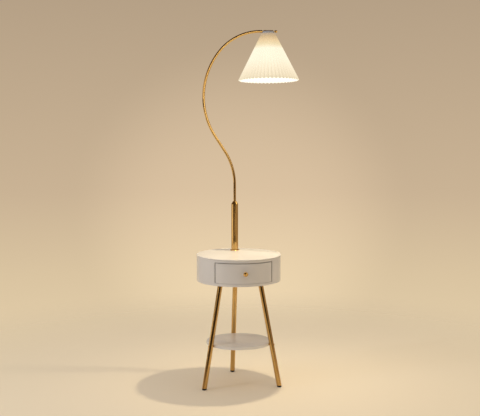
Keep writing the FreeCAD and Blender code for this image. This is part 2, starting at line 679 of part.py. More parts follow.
def make_post_nut():
    z1 = TOP_UNDERSIDE - POST_WASHER_THICKNESS
    z0 = z1 - NUT_HEIGHT
    corner = NUT_ACROSS_FLATS / sqrt(3)
    points = [V(corner * cos(k * pi / 3), POST_BACK + corner * sin(k * pi / 3), z0) for k in range(6)]
    prism = Part.Face(Part.makePolygon(points + [points[0]])).extrude(V(0, 0, NUT_HEIGHT))
    return prism.cut(upright(STUD_RADIUS + SEAT, z0, z1, 0, POST_BACK))


# ---------------------------------------------------------------- arm


def arm_path():
    """Edges of the arm's centre line, in the plane Y = POST_BACK, and its end point."""
    heading = [0.0]                 # from straight up towards -X, in radians
    at = [V(0, POST_BACK, ARM_BOTTOM)]
    edges = []

    def along(length):
        step = V(-sin(heading[0]), 0, cos(heading[0])) * length
        edges.append(Part.makeLine(at[0], at[0] + step))
        at[0] = at[0] + step

    def bend(radius, angle):
        """Positive angles turn towards -X."""
        turn = radians(angle)
        side = -1 if turn > 0 else 1
        start = heading[0]
        centre = at[0] + V(cos(start), 0, sin(start)) * (side * radius)

        def point(part):
            now = start + turn * part
            return centre - V(cos(now), 0, sin(now)) * (side * radius)

        end = point(1.0)
        edges.append(Part.Arc(at[0], point(0.5), end).toShape())
        at[0] = end
        heading[0] = start + turn

    along(BEND_START_HEIGHT - ARM_BOTTOM)
    bend(NECK_RADIUS, NECK_ANGLE)
    along(SLOPE_LENGTH)
    bend(BOW_RADIUS, -BOW_ANGLE)
    bend(CROWN_RADIUS, BOW_ANGLE - NECK_ANGLE - 90)
    along(LEVEL_END)
    return edges, at[0]


def arm_sweep(radius):
    edges, _ = arm_path()
    profile = Part.Wire(Part.makeCircle(radius, V(0, POST_BACK, ARM_BOTTOM), Z_AXIS))
    return Part.Wire(edges).makePipeShell([profile], True, False)


def make_arm_tube():
    return arm_sweep(ARM_RADIUS).cut(arm_sweep(ARM_RADIUS - ARM_WALL))


def make_stop_ring():
    """Ring fixed on the arm. It rests on the bush, and its lug meets the bush's tooth."""
    z0 = BUSH_TOP + AXIAL_PLAY
    z1 = BUSH_TOP + STOP_RING_HEIGHT
    ring_radius = STOP_RING_DIAMETER / 2
    ring = pipe(ring_radius, ARM_RADIUS + SEAT, z0, z1, 0, POST_BACK)
    lug = sector(ring_radius - STOP_OVERLAP, POST_BORE - STOP_PLAY, 0, STOP_TOOTH_ANGLE, z0, z1)
    return ring.fuse(lug).removeSplitter()


def make_end_pin(tip):
    """Plug in the tube's end that runs on as the thin pivot pin."""
    inner = ARM_RADIUS - ARM_WALL - SEAT
    plug = rod(inner, tip - X_AXIS * LEVEL_END, tip)
    pin = rod(PIN_RADIUS, tip, ball_centre(tip))
    shoulder = rod(ARM_RADIUS, tip, tip + X_AXIS * PIN_SHOULDER)
    return plug.fuse(shoulder).fuse(pin)


def make_ball_nut(tip):
    centre = ball_centre(tip)
    ball = Part.makeSphere(BALL_DIAMETER / 2, centre)
    return ball.cut(rod(PIN_RADIUS + SEAT, tip, centre))


def ball_centre(tip):
    return tip + X_AXIS * (BARREL_GAP + BARREL_LENGTH + BALL_GAP + BALL_DIAMETER / 2)


# ---------------------------------------------------------------- lamp head
# Made about X = Y = 0 with the tilt axis at Z = 0 and the shade below, then put in place.


def fold_outline(peak, valley, z):
    """Closed zigzag of the pleats at one height."""
    points = []
    for k in range(2 * PLEATS):
        radius = peak if k % 2 == 0 else valley
        angle = pi * k / PLEATS
        points.append(V(radius * cos(angle), radius * sin(angle), z))
    return Part.makePolygon(points + [points[0]])


def make_pleated_shade():
    """Cone folded from one thin sheet: an outer zigzag cone less the same one a sheet inside."""
    top = -CAP_HEIGHT
    rim = top - SHADE_HEIGHT

    def cone(inset):
        low = fold_outline(SHADE_RIM_RADIUS - inset, SHADE_RIM_RADIUS - PLEAT_DEPTH_RIM - inset, rim)
        high = fold_outline(SHADE_TOP_RADIUS - inset, SHADE_TOP_RADIUS - PLEAT_DEPTH_TOP - inset, top)
        return Part.makeLoft([low, high], True, True)

    return cone(0).cut(cone(SHADE_SHEET))


def shade_clear_radius(z):
    """Largest radius inside the pleats at a height."""
    down = (-CAP_HEIGHT - z) / SHADE_HEIGHT
    top = SHADE_TOP_RADIUS - PLEAT_DEPTH_TOP
    rim = SHADE_RIM_RADIUS - PLEAT_DEPTH_RIM
    return top + (rim - top) * down - SHADE_SHEET


def make_tilt_barrel():
    half = BARREL_LENGTH / 2
    barrel = rod(ARM_RADIUS, X_AXIS * -half, X_AXIS * half)
    return barrel.cut(rod(PIN_RADIUS + SLIP, X_AXIS * -half, X_AXIS * half))


def make_shade_cap():
    """Round cap with a groove for the barrel across its top."""
    cap = upright(CAP_RADIUS, -CAP_HEIGHT, 0)
    cap = rounded(cap, CAP_EDGE_RADIUS, lambda e: is_level_circle(e, CAP_RADIUS, 0))
    half = BARREL_LENGTH / 2
    groove = rod(ARM_RADIUS + SEAT, X_AXIS * -half, X_AXIS * half)
    pin_way = rod(ARM_RADIUS + CAP_PIN_ROOM, X_AXIS * half, X_AXIS * (CAP_RADIUS + OVERSHOOT))
    cap = cap.cut(groove).cut(pin_way).cut(pin_way.mirror(V(0, 0, 0), X_AXIS))
    return one_solid(cap.cut(upright(NIPPLE_DIAMETER / 2 + SEAT, -CAP_HEIGHT, 0)))


def make_nipple():
    """Hollow threaded tube from the barrel down into the lamp holder."""
    tube = pipe(NIPPLE_DIAMETER / 2, NIPPLE_BORE / 2, -NIPPLE_END, 0)
    half = BARREL_LENGTH / 2
    return one_solid(tube.cut(rod(ARM_RADIUS, X_AXIS * -half, X_AXIS * half)))


def make_lamp_holder():
    """Moulded holder: shoulder, body, threaded skirt, and the socket from below."""
    top = -HOLDER_TOP
    bore = NIPPLE_DIAMETER / 2 + SEAT
    outline = [(bore, top), (HOLDER_NECK_RADIUS, top), (HOLDER_RADIUS, top - HOLDER_SHOULDER),
               (HOLDER_RADIUS, -CARRIER_DEPTH), (HOLDER_SKIRT_RADIUS, -CARRIER_DEPTH),
               (HOLDER_SKIRT_RADIUS, -HOLDER_SKIRT_END), (HOLDER_BORE_RADIUS, -HOLDER_SKIRT_END),
               (HOLDER_BORE_RADIUS, -SOCKET_DEPTH), (bore, -SOCKET_DEPTH)]
    return turned(outline)


def make_carrier_plate():
    """Disc clamped on the holder that keeps the pleats round, with vents near the middle."""
    z1 = -CARRIER_DEPTH
    z0 = z1 - CARRIER_THICKNESS
    plate = pipe(shade_clear_radius(z1) - SEAT, HOLDER_SKIRT_RADIUS + SEAT, z0, z1)
    ring = (SHADE_RING_RADIUS + shade_clear_radius(z1)) / 2
    for k in range(CARRIER_VENTS):
        angle = 2 * pi * k / CARRIER_VENTS
        plate = plate.cut(upright(CARRIER_VENT_RADIUS, z0, z1, ring * cos(angle), ring * sin(angle)))
    return plate


def make_shade_ring():
    z1 = -CARRIER_DEPTH - CARRIER_THICKNESS
    return pipe(SHADE_RING_RADIUS, HOLDER_SKIRT_RADIUS + SEAT, z1 - SHADE_RING_HEIGHT, z1)


def make_top_ring():
    outer = shade_clear_radius(-CAP_HEIGHT) - SEAT
    return pipe(outer, outer - TOP_RING_WIDTH, -CAP_HEIGHT - TOP_RING_HEIGHT, -CAP_HEIGHT)


def make_bulb_glass():
    """Pear-shaped envelope, open at the neck where the base closes it."""

    def outline(inset):
        globe = BULB_RADIUS - inset
        neck = BULB_BASE_RADIUS - inset
        neck_z = -BULB_NECK_DEPTH
        centre_z = -BULB_GLOBE_DEPTH
        lean = radians(BULB_SHOULDER_ANGLE)
        shoulder = V(globe * cos(lean), 0, centre_z + globe * sin(lean))
        belly = V(globe, 0, centre_z)
        bottom = V(0, 0, centre_z - globe)
        return [
            Part.makeLine(V(0, 0, neck_z), V(neck, 0, neck_z)),
            Part.makeLine(V(neck, 0, neck_z), shoulder),
            Part.Arc(shoulder, belly, bottom).toShape(),
            Part.makeLine(bottom, V(0, 0, neck_z)),
        ]

    return turned_edges(outline(0)).cut(turned_edges(outline(BULB_GLASS)))


def make_bulb_base():
    """Screw base with its contact, up in the socket."""
    r = BULB_BASE_RADIUS
    top = -BULB_BASE_TOP
    return turned([(0, -BULB_NECK_DEPTH), (r, -BULB_NECK_DEPTH), (r, top - BULB_BASE_SHOULDER),
                   (r - BULB_BASE_SHOULDER, top), (BULB_CONTACT_RADIUS, top),
                   (BULB_CONTACT_RADIUS, -SOCKET_DEPTH), (0, -SOCKET_DEPTH)])


# ---------------------------------------------------------------- the whole lamp


def place_head(shape, pivot):
    shape.rotate(V(0, 0, 0), X_AXIS, -SHADE_LEAN)
    shape.translate(pivot)
    return shape


def build():
    _, arm_tip = arm_path()
    pivot = arm_tip + X_AXIS * (BARREL_GAP + BARREL_LENGTH / 2)
    pieces = {
        "top_board": make_top_board(),
        "side_shell": make_side_shell(),
        "bottom_board": make_bottom_board(),
        "bottom_screws": make_panel_screws(),
        "drawer_stop": make_drawer_stop(),
        "closing_bumpers": make_closing_bumpers(),
        "cable_grommet": make_grommet(),
        "drawer_front": make_drawer_front(),
        "drawer_back": make_drawer_back(),
        "drawer_base": make_drawer_base(),
        "drawer_knob": make_knob(),
        "knob_screw": make_knob_screw(),
        "leg_plugs": make_leg_plugs(),
        "leg_bolts": make_leg_bolts(),
        "shelf": make_shelf(),
        "shelf_standoffs": make_standoffs(),
        "shelf_screws": make_shelf_screws(),
        "post_flange": make_post_flange(),
        "post_tube": make_post_tube(),
        "post_collar": make_post_collar(),
        "swivel_bush": make_swivel_bush(),
        "post_stud": make_post_stud(),
        "post_washer": make_post_washer(),
        "post_nut": make_post_nut(),
        "arm_tube": make_arm_tube(),
        "stop_ring": make_stop_ring(),
        "end_pin": make_end_pin(arm_tip),
        "ball_nut": make_ball_nut(arm_tip),
    }
    for name, side in (("left", -1), ("right", 1)):
        pieces["partition_" + name] = make_partition(side)
        pieces["cabinet_rail_" + name] = make_cabinet_rail(side)
        pieces["drawer_rail_" + name] = make_drawer_rail(side)
        pieces["drawer_side_" + name] = make_drawer_side(side)
    for name, angle in LEG_ANGLES.items():
        pieces["leg_" + name] = make_leg(angle)
        pieces["foot_cap_" + name] = make_foot_cap(angle)
    head = {
        "tilt_barrel": make_tilt_barrel(),
        "shade_cap": make_shade_cap(),
        "lamp_nipple": make_nipple(),
        "lamp_holder": make_lamp_holder(),
        "shade_carrier": make_carrier_plate(),
        "shade_ring": make_shade_ring(),
        "shade_top_ring": make_top_ring(),
        "pleated_shade": make_pleated_shade(),
        "bulb_glass": make_bulb_glass(),
        "bulb_base": make_bulb_base(),
    }
    for name, shape in head.items():
        pieces[name] = place_head(shape, pivot)
    return pieces, pivot


pieces, pivot = build()
whole = Part.makeCompound(list(pieces.values())).optimalBoundingBox(False, False)
origin = V((whole.XMin + whole.XMax) / 2, (whole.YMin + whole.YMax) / 2, whole.ZMin)
os.makedirs("parts", exist_ok=True)
for name, shape in pieces.items():
    shape.translate(-origin)
    shape.exportStep("parts/" + name + ".step")
pivot = pivot - origin

print(len(pieces), "pieces")
for name, shape in pieces.items():
    if not shape.isValid():
        print("not valid:", name)
print("size", round(whole.XLength, 2), round(whole.YLength, 2), round(whole.ZLength, 2))
print("drum axis at", round(-origin.x, 3), round(-origin.y, 3))
print("tilt axis at", round(pivot.x, 3), round(pivot.y, 3), round(pivot.z, 3))
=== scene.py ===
# %% [markdown]
# # A floor lamp with a round drawer table
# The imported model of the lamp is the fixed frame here: its tubes, boards and joints are already
# at their real size. This file gives each surface its finish, shades the round solids smooth,
# folds the shade out of one thin sheet, and sets the studio and the camera.

# %% Load the frame
import json
import math

import bmesh
import bpy
from mathutils import Matrix, Vector

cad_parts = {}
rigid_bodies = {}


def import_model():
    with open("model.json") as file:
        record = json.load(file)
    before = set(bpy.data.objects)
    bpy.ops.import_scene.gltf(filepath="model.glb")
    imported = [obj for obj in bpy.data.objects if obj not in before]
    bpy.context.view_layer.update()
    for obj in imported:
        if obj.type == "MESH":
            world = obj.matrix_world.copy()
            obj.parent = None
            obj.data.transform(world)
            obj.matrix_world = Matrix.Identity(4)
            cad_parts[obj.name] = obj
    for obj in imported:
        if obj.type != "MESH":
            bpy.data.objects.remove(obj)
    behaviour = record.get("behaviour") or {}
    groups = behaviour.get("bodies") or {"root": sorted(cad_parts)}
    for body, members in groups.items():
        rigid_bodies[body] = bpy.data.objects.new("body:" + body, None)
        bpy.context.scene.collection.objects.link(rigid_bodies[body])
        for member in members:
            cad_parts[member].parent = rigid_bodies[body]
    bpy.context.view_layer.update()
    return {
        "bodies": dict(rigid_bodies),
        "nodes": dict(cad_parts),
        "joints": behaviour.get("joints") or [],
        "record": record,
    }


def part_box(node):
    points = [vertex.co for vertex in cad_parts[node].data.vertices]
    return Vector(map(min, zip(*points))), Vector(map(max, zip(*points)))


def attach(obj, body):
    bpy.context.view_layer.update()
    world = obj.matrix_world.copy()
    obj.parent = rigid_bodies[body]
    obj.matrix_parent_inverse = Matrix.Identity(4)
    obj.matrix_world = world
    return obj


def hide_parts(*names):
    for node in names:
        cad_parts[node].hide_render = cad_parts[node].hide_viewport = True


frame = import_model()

MM = 0.001
NODES = frame["nodes"]

# %% [markdown]
# ## Camera
# A long lens from four and a half metres keeps the legs nearly parallel, as in a catalogue
# picture. The camera stands at chest height, a little to the left of the drawer's axis, and
# looks slightly down, so the tabletop shows as a thin ellipse. It could be placed by its own
# coordinates, but a distance and a turn about the drum's axis are easier to think in.

# %% Camera
CAMERA_DISTANCE = 4.612
CAMERA_HEIGHT = 1.273
CAMERA_SIDE_STEP = 0.006
CAMERA_TURN = math.radians(8.79)
CAMERA_PITCH = math.radians(5.78)
LENS_MM = 77.0
SENSOR_MM = 36.0


def middle(node):
    """Centre of a node's box."""
    low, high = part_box(node)
    return (Vector(low) + Vector(high)) / 2


DRUM = middle("top_board")
forward = Vector((math.sin(CAMERA_TURN), math.cos(CAMERA_TURN), 0))
sideways = Vector((math.cos(CAMERA_TURN), -math.sin(CAMERA_TURN), 0))
camera_data = bpy.data.cameras.new("camera")
camera_data.lens = LENS_MM
camera_data.sensor_width = SENSOR_MM
camera = bpy.data.objects.new("camera", camera_data)
bpy.context.scene.collection.objects.link(camera)
spot = Vector((DRUM.x, DRUM.y, 0)) - forward * CAMERA_DISTANCE + sideways * CAMERA_SIDE_STEP
camera.location = spot + Vector((0, 0, CAMERA_HEIGHT))
aim = forward * math.cos(CAMERA_PITCH) - Vector((0, 0, math.sin(CAMERA_PITCH)))
camera.rotation_euler = aim.to_track_quat("-Z", "Y").to_euler()
bpy.context.scene.camera = camera
print("drum axis", round(DRUM.x, 4), round(DRUM.y, 4))
print("camera at", [round(value, 3) for value in camera.location])

# %% [markdown]
# ## Helpers for finishes
# Colours are written as the sRGB hex values that a paint card would give, and one function turns
# them to the linear values that a shader needs. `add` puts one node in a tree, with its settings
# and its links, so each finish below reads as a short recipe. Patterns are written by the size
# that they have on the real surface, and `per_metre` turns that size to a noise's scale.


# %% Colour and node helpers
def colour(code):
    """Linear colour of an sRGB hex code, with an alpha of one."""
    parts = [int(code[i:i + 2], 16) / 255 for i in (0, 2, 4)]
    linear = [c / 12.92 if c <= 0.04045 else ((c + 0.055) / 1.055) ** 2.4 for c in parts]
    return (*linear, 1.0)


def set_stops(elements, stops):
    """Give a colour ramp its stops, as pairs of a place and a hex code."""
    while len(elements) < len(stops):
        elements.new(0.5)
    for element, (place, code) in zip(elements, stops):
        element.position = place
        element.color = colour(code)


def add(tree, kind, settings=None, **inputs):
    """One node: settings are its properties or a ramp's stops, inputs its values or links.

    An input goes by its name, with _ for a space, or by _ and its number where names repeat.
    """
    node = tree.nodes.new(kind)
    for name, value in (settings or {}).items():
        if name == "stops":
            set_stops(node.color_ramp.elements, value)
        else:
            setattr(node, name, value)
    for name, value in inputs.items():
        socket = node.inputs[int(name[1:])] if name[0] == "_" else node.inputs[name.replace("_", " ")]
        if isinstance(value, bpy.types.NodeSocket):
            tree.links.new(value, socket)
        else:
            socket.default_value = value
    return node


def new_material(name, **surface):
    """Material with one Principled shader, its plain sockets set by name."""
    material = bpy.data.materials.new(name)
    material.use_nodes = True
    shader = material.node_tree.nodes["Principled BSDF"]
    for key, value in surface.items():
        shader.inputs[key.replace("_", " ")].default_value = value
    return material, material.node_tree, shader


def per_metre(size_mm):
    """Scale of a pattern whose grains are this many millimetres apart."""
    return 1 / (size_mm * MM)


print("a pattern of 2 mm has a scale of", round(per_metre(2.0)))

# %% [markdown]
# ## White lacquer
# The drum and shelf are fibreboard sprayed with satin lacquer. The eye sees a soft highlight
# and, close up, the faint orange peel that a spray gun leaves. A smooth coat alone would look
# like plastic, so a noise of three millimetres drives a bump of two hundredths of a millimetre,
# and a wide one shifts the tint and the gloss a little from place to place.

# %% Sprayed satin lacquer
PEEL_MM = 3.03
PEEL_DEPTH = 0.02 * MM
CLOUD_MM = 200.0


def make_lacquer():
    material, tree, shader = new_material("satin lacquer on fibreboard", Roughness=0.20, IOR=1.5)
    place = add(tree, "ShaderNodeTexCoord").outputs["Object"]
    peel = add(tree, "ShaderNodeTexNoise", Vector=place, Scale=per_metre(PEEL_MM), Detail=2.0)
    cloud = add(tree, "ShaderNodeTexNoise", Vector=place, Scale=per_metre(CLOUD_MM), Detail=3.0)
    whites = [(0.35, "EEE7DE"), (0.65, "F3EDE5")]
    tint = add(tree, "ShaderNodeValToRGB", {"stops": whites}, Fac=cloud.outputs["Fac"])
    tree.links.new(tint.outputs["Color"], shader.inputs["Base Color"])
    rough = add(tree, "ShaderNodeMapRange", Value=cloud.outputs["Fac"], To_Min=0.15, To_Max=0.24)
    tree.links.new(rough.outputs["Result"], shader.inputs["Roughness"])
    relief = add(tree, "ShaderNodeBump", Height=peel.outputs["Fac"], Distance=PEEL_DEPTH, Strength=0.3)
    tree.links.new(relief.outputs["Normal"], shader.inputs["Normal"])
    return material


lacquer = make_lacquer()
print("made", lacquer.name)

# %% [markdown]
# ## Brass-plated tube
# The legs, post and arm are steel tube, polished with a fine belt and plated. On such a tube the
# eye sees the room as a few crisp light and dark streaks, so the roughness is low and the tone
# hardly changes. The belt's hair lines come from a noise that is long along Z and fine across it.
# A belt's real lines are near a tenth of a millimetre wide. They are drawn about ten times as
# wide, because finer ones wouldn't show. The knob, collar and other turned pieces get an even,
# coarser pattern of two millimetres instead.

# %% Brushed and turned brass
PATINA_MM = 71.4
LINE_DEPTH = 0.004 * MM
BELT_LINES_MM = (1.111, 1.111, 166.7)
TURNED_MM = (2.0, 2.0, 2.0)


def make_brass(name, base, dark, roughness, line_mm):
    material, tree, shader = new_material(name, Metallic=1.0, Roughness=roughness)
    place = add(tree, "ShaderNodeTexCoord").outputs["Object"]
    drawn_out = add(tree, "ShaderNodeMapping", Vector=place, Scale=[per_metre(size) for size in line_mm])
    lines = add(tree, "ShaderNodeTexNoise", Vector=drawn_out.outputs["Vector"], Scale=1.0, Detail=3.0)
    patina = add(tree, "ShaderNodeTexNoise", Vector=place, Scale=per_metre(PATINA_MM), Detail=2.0)
    mixed = add(tree, "ShaderNodeMath", {"operation": "MULTIPLY_ADD"}, _0=lines.outputs["Fac"], _1=0.3,
                _2=patina.outputs["Fac"])
    golds = [(0.45, dark), (0.85, base)]
    tone = add(tree, "ShaderNodeValToRGB", {"stops": golds}, Fac=mixed.outputs["Value"])
    tree.links.new(tone.outputs["Color"], shader.inputs["Base Color"])
    rough = add(tree, "ShaderNodeMapRange", Value=lines.outputs["Fac"], To_Min=roughness - 0.02,
                To_Max=roughness + 0.03)
    tree.links.new(rough.outputs["Result"], shader.inputs["Roughness"])
    relief = add(tree, "ShaderNodeBump", Height=lines.outputs["Fac"], Distance=LINE_DEPTH, Strength=0.2)
    tree.links.new(relief.outputs["Normal"], shader.inputs["Normal"])
    return material


tube_brass = make_brass("brushed brass plating", "D2AE72", "C8A266", 0.11, BELT_LINES_MM)
turned_brass = make_brass("polished turned brass", "DDB672", "D2A865", 0.09, TURNED_MM)
print("made", tube_brass.name, "and", turned_brass.name)

# %% [markdown]
# ## Small parts: zinc, powder coat, enamel, plastic, rubber
# Hidden fittings are bright zinc, the rails are powder coated, and the white cap on the shade
# gets a pale grey enamel, whose grey is painted shade. The small moulded parts are polypropylene,
# polycarbonate, nylon or rubber. Each is one colour, so what sets them apart is their gloss and
# the size of their grain.

# %% Moulded, coated and plated small parts
GRAIN_DEPTH = 0.02 * MM


def make_plain(name, code, roughness, grain_mm, **surface):
    material, tree, shader = new_material(name, Roughness=roughness, Base_Color=colour(code), **surface)
    place = add(tree, "ShaderNodeTexCoord").outputs["Object"]
    grain = add(tree, "ShaderNodeTexNoise", Vector=place, Scale=per_metre(grain_mm), Detail=2.0)
    relief = add(tree, "ShaderNodeBump", Height=grain.outputs["Fac"], Distance=GRAIN_DEPTH, Strength=0.6)
    tree.links.new(relief.outputs["Normal"], shader.inputs["Normal"])
    return material


zinc = make_plain("bright zinc plating", "C9CCCE", 0.3, 0.8, Metallic=1.0)
powder = make_plain("white powder coat", "DCDBD8", 0.45, 0.5)
black_cap = make_plain("black polypropylene", "0C0C0C", 0.5, 0.6)
rubber = make_plain("black rubber", "1B1B1B", 0.75, 0.7)
nylon = make_plain("natural nylon", "DDD8C8", 0.4, 1.0)
white_plastic = make_plain("white polycarbonate", "DAD7D2", 0.38, 0.9)
rolled_metal = make_plain("rolled aluminium", "C4C6C8", 0.28, 0.8, Metallic=1.0)
# The cap is white; the grey of this enamel is painted shade.
cap_enamel_painted_shade = make_plain("pale grey enamel", "BDBDC2", 0.35, 0.6)
print("made eight finishes for the small parts")

# %% [markdown]
# ## Bare beech board
# The drawer box, the stop block and the partitions inside are sanded beech ply. A stretched
# noise gives the bands of the grain, and a finer one the short dark flecks that mark beech. Both
# run from front to back, so along the partitions and the drawer's sides, but not along its back.

# %% Sanded beech
BAND_MM = (11.11, 142.9, 11.11)
FLECK_MM = (1.111, 16.67, 1.111)
FLECK_DEPTH = 0.06 * MM


def make_beech():
    material, tree, shader = new_material("sanded beech ply", Roughness=0.62)
    place = add(tree, "ShaderNodeTexCoord").outputs["Object"]
    wide = add(tree, "ShaderNodeMapping", Vector=place, Scale=[per_metre(size) for size in BAND_MM])
    bands = add(tree, "ShaderNodeTexNoise", Vector=wide.outputs["Vector"], Scale=1.0, Detail=5.0)
    fine = add(tree, "ShaderNodeMapping", Vector=place, Scale=[per_metre(size) for size in FLECK_MM])
    flecks = add(tree, "ShaderNodeTexNoise", Vector=fine.outputs["Vector"], Scale=1.0, Detail=2.0)
    both = add(tree, "ShaderNodeMath", {"operation": "MULTIPLY_ADD"}, _0=flecks.outputs["Fac"], _1=0.35,
               _2=bands.outputs["Fac"])
    browns = [(0.45, "B8946A"), (0.68, "D6B98F"), (0.9, "E3CCA8")]
    tone = add(tree, "ShaderNodeValToRGB", {"stops": browns}, Fac=both.outputs["Value"])
    tree.links.new(tone.outputs["Color"], shader.inputs["Base Color"])
    relief = add(tree, "ShaderNodeBump", Height=flecks.outputs["Fac"], Distance=FLECK_DEPTH, Strength=0.4)
    tree.links.new(relief.outputs["Normal"], shader.inputs["Normal"])
    return material


beech = make_beech()
print("made", beech.name)

# %% [markdown]
# ## Lit shade
# The shade is a thin white sheet that lets the bulb's light through. Real light through a thin
# folded sheet takes many samples to settle, so the sheet glows by itself instead, which is the
# bulb's light painted on. Over the carrier plate, which keeps the light down, it only glows amber.
# Just under the plate it is brightest, and it fades a little towards the rim. Three attributes on
# the mesh steer this: `fall` says how far down the cone a point lies, `crease` how deep in a fold,
# where painted shade darkens the valleys and the crests glow a little brighter, and `inside` marks
# the inner wall, which faces the bulb and glows nearly white, as painted light from close by.

# %% Translucent pleated sheet
CAP_HEIGHT = 9.0 * MM
PLATE_DEPTH = 70.0 * MM
SHADE_HEIGHT = 213.0 * MM
PLATE_SHARE = (PLATE_DEPTH - CAP_HEIGHT) / SHADE_HEIGHT
FOLDS_SHOW_FROM = 0.45
FOLDS_FULL_AT = 0.9
# How much painted shade darkens the glow in a fold's valley, at the top and at the rim
VALLEY_PAINTED_SHADE_TOP = 0.02
VALLEY_PAINTED_SHADE_RIM = 0.20
CREST_PAINTED_LIGHT = 1.03


def make_shade_sheet():
    material, tree, shader = new_material("pleated translucent sheet", Roughness=0.55, Sheen_Weight=0.5,
                                          Sheen_Roughness=0.35, Base_Color=colour("B5AB98"),
                                          Emission_Strength=1.0)
    fall = add(tree, "ShaderNodeAttribute", {"attribute_name": "fall"}).outputs["Fac"]
    crease = add(tree, "ShaderNodeAttribute", {"attribute_name": "crease"}).outputs["Fac"]
    inside = add(tree, "ShaderNodeAttribute", {"attribute_name": "inside"}).outputs["Fac"]
    glows = [(0.0, "93816E"), (0.06, "A38963"), (PLATE_SHARE * 0.55, "C6AC81"),
             (PLATE_SHARE * 0.88, "CFC09A"), (PLATE_SHARE * 1.2, "E6DDC7"), (0.60, "E7DEC7"),
             (0.8, "E0D4BA"), (1.0, "D5C8AA")]
    glow = add(tree, "ShaderNodeValToRGB", {"stops": glows}, Fac=fall)
    # Painted shade in the folds: valleys dim the glow, more towards the rim; crests glow slightly brighter.
    valley_painted_shade = add(tree, "ShaderNodeMapRange", Value=fall, From_Min=FOLDS_SHOW_FROM, From_Max=FOLDS_FULL_AT,
                  To_Min=-VALLEY_PAINTED_SHADE_TOP, To_Max=-VALLEY_PAINTED_SHADE_RIM)
    fold = add(tree, "ShaderNodeMath", {"operation": "MULTIPLY_ADD"}, _0=crease, _1=valley_painted_shade.outputs["Result"],
               _2=CREST_PAINTED_LIGHT)
    shaded = add(tree, "ShaderNodeMix", {"data_type": "RGBA", "blend_type": "MULTIPLY"}, _0=1.0,
                 _6=glow.outputs["Color"], _7=fold.outputs["Value"])
    # The inner wall glows nearly white: painted light from the bulb close by.
    both = add(tree, "ShaderNodeMix", {"data_type": "RGBA"}, _0=inside, _6=shaded.outputs[2],
               _7=colour("FFFBEC"))
    tree.links.new(both.outputs[2], shader.inputs["Emission Color"])
    return material


shade_sheet = make_shade_sheet()
print("carrier plate at", round(PLATE_SHARE, 3), "of the sheet's height")

# %% [markdown]
# ## Opal bulb
# The bulb is a frosted globe, lit from inside. A lamp within a real glass would do the same at
# a high cost in samples, so the glass itself is bright and warm.


# %% Lit bulb
def make_bulb():
    material, _, _ = new_material("lit opal glass", Roughness=0.35, IOR=1.5, Base_Color=colour("FFF6E4"),
                                  Emission_Color=colour("FFF3D6"), Emission_Strength=1.6)
    return material


bulb_glass = make_bulb()
print("made", bulb_glass.name)

# %% [markdown]
# ## A finish for every node
# Each node of the frame names a material slot, so one table from slot to finish dresses the
# whole lamp. The cap on the shade shares its slot with plainer pieces but shows in the picture,
# so it gets its grey enamel by name, a grey that is painted shade on a white cap.

# %% Give every node its finish
FINISH = {
    "painted_board": lacquer,
    "drawer_wood": beech,
    "brass_tube": tube_brass,
    "brass_turned": turned_brass,
    "zinc_steel": zinc,
    "rail_steel": powder,
    "black_foot": black_cap,
    "rubber": rubber,
    "nylon": nylon,
    "white_plastic": white_plastic,
    "shade_sheet": white_plastic,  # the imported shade, which the folded one hides further down
    "opal_glass": bulb_glass,
    "lamp_base": rolled_metal,
}
SLOT_OF = {row["node"]: row["material_slot"] for row in frame["record"]["subparts"]}


def finish_node(node, material):
    mesh = NODES[node].data
    mesh.materials.clear()
    mesh.materials.append(material)


for node_name, slot_name in SLOT_OF.items():
    finish_node(node_name, FINISH[slot_name])
finish_node("shade_cap", cap_enamel_painted_shade)
print(len(SLOT_OF), "nodes have a finish")

# %% [markdown]
# ## Smooth rounds, crisp edges
# The frame's meshes are triangles, so a polished tube would show them as small flat mirrors. A
# short modifier made of geometry nodes mends that and leaves the mesh itself alone: it joins the
# triangles that touch, shades the faces smooth, and keeps every edge over thirty degrees sharp.

# %% Smooth shading by angle
JOIN_WITHIN = 0.01 * MM
CRISP_FROM = math.radians(30)


def make_smoothing():
    tree = bpy.data.node_groups.new("smooth rounds", "GeometryNodeTree")
    tree.interface.new_socket("Geometry", in_out="INPUT", socket_type="NodeSocketGeometry")
    tree.interface.new_socket("Geometry", in_out="OUTPUT", socket_type="NodeSocketGeometry")
    given = add(tree, "NodeGroupInput").outputs["Geometry"]
    joined = add(tree, "GeometryNodeMergeByDistance", Geometry=given, Distance=JOIN_WITHIN)
    round_faces = add(tree, "GeometryNodeSetShadeSmooth", {"domain": "FACE"}, Geometry=joined.outputs[0])
    angle = add(tree, "GeometryNodeInputMeshEdgeAngle").outputs["Unsigned Angle"]
    crisp = add(tree, "FunctionNodeCompare", {"operation": "GREATER_THAN"}, A=angle, B=CRISP_FROM)
    sharp = add(tree, "GeometryNodeSetShadeSmooth", {"domain": "EDGE"}, Geometry=round_faces.outputs[0],
                Selection=crisp.outputs[0], Shade_Smooth=False)
    add(tree, "NodeGroupOutput", Geometry=sharp.outputs[0])
    return tree


smoothing = make_smoothing()
for node_name in SLOT_OF:
    NODES[node_name].modifiers.new("smooth rounds", "NODES").node_group = smoothing
print(len(SLOT_OF), "nodes are shaded smooth")

# %% [markdown]
# ## The pleated shade
# A real pleated shade is one strip, folded to and fro and pulled into a cone. The same can be
# done here: start from a circle, draw its points in for the valleys, extrude the ring downwards
# step by step while it widens, and give the sheet its thickness. Eight points for each fold are
# enough for a crease that is slightly round, as in a sheet that has some stiffness.

# %% Sizes of the fold and the way the shade leans
PLEATS = 48
POINTS_PER_PLEAT = 8
RINGS = 14
SHEET = 0.9 * MM
FOLD_DEPTH_TOP = 3.0 * MM
FOLD_DEPTH_RIM = 7.0 * MM
VALLEY_DROP = 3.0 * MM
DROP_POWER = 3
CREASE_SHARPNESS = 0.6
TOP_RADIUS = 31.5 * MM
RIM_RADIUS = 140.0 * MM
SHADE_LEAN = math.radians(4.0)

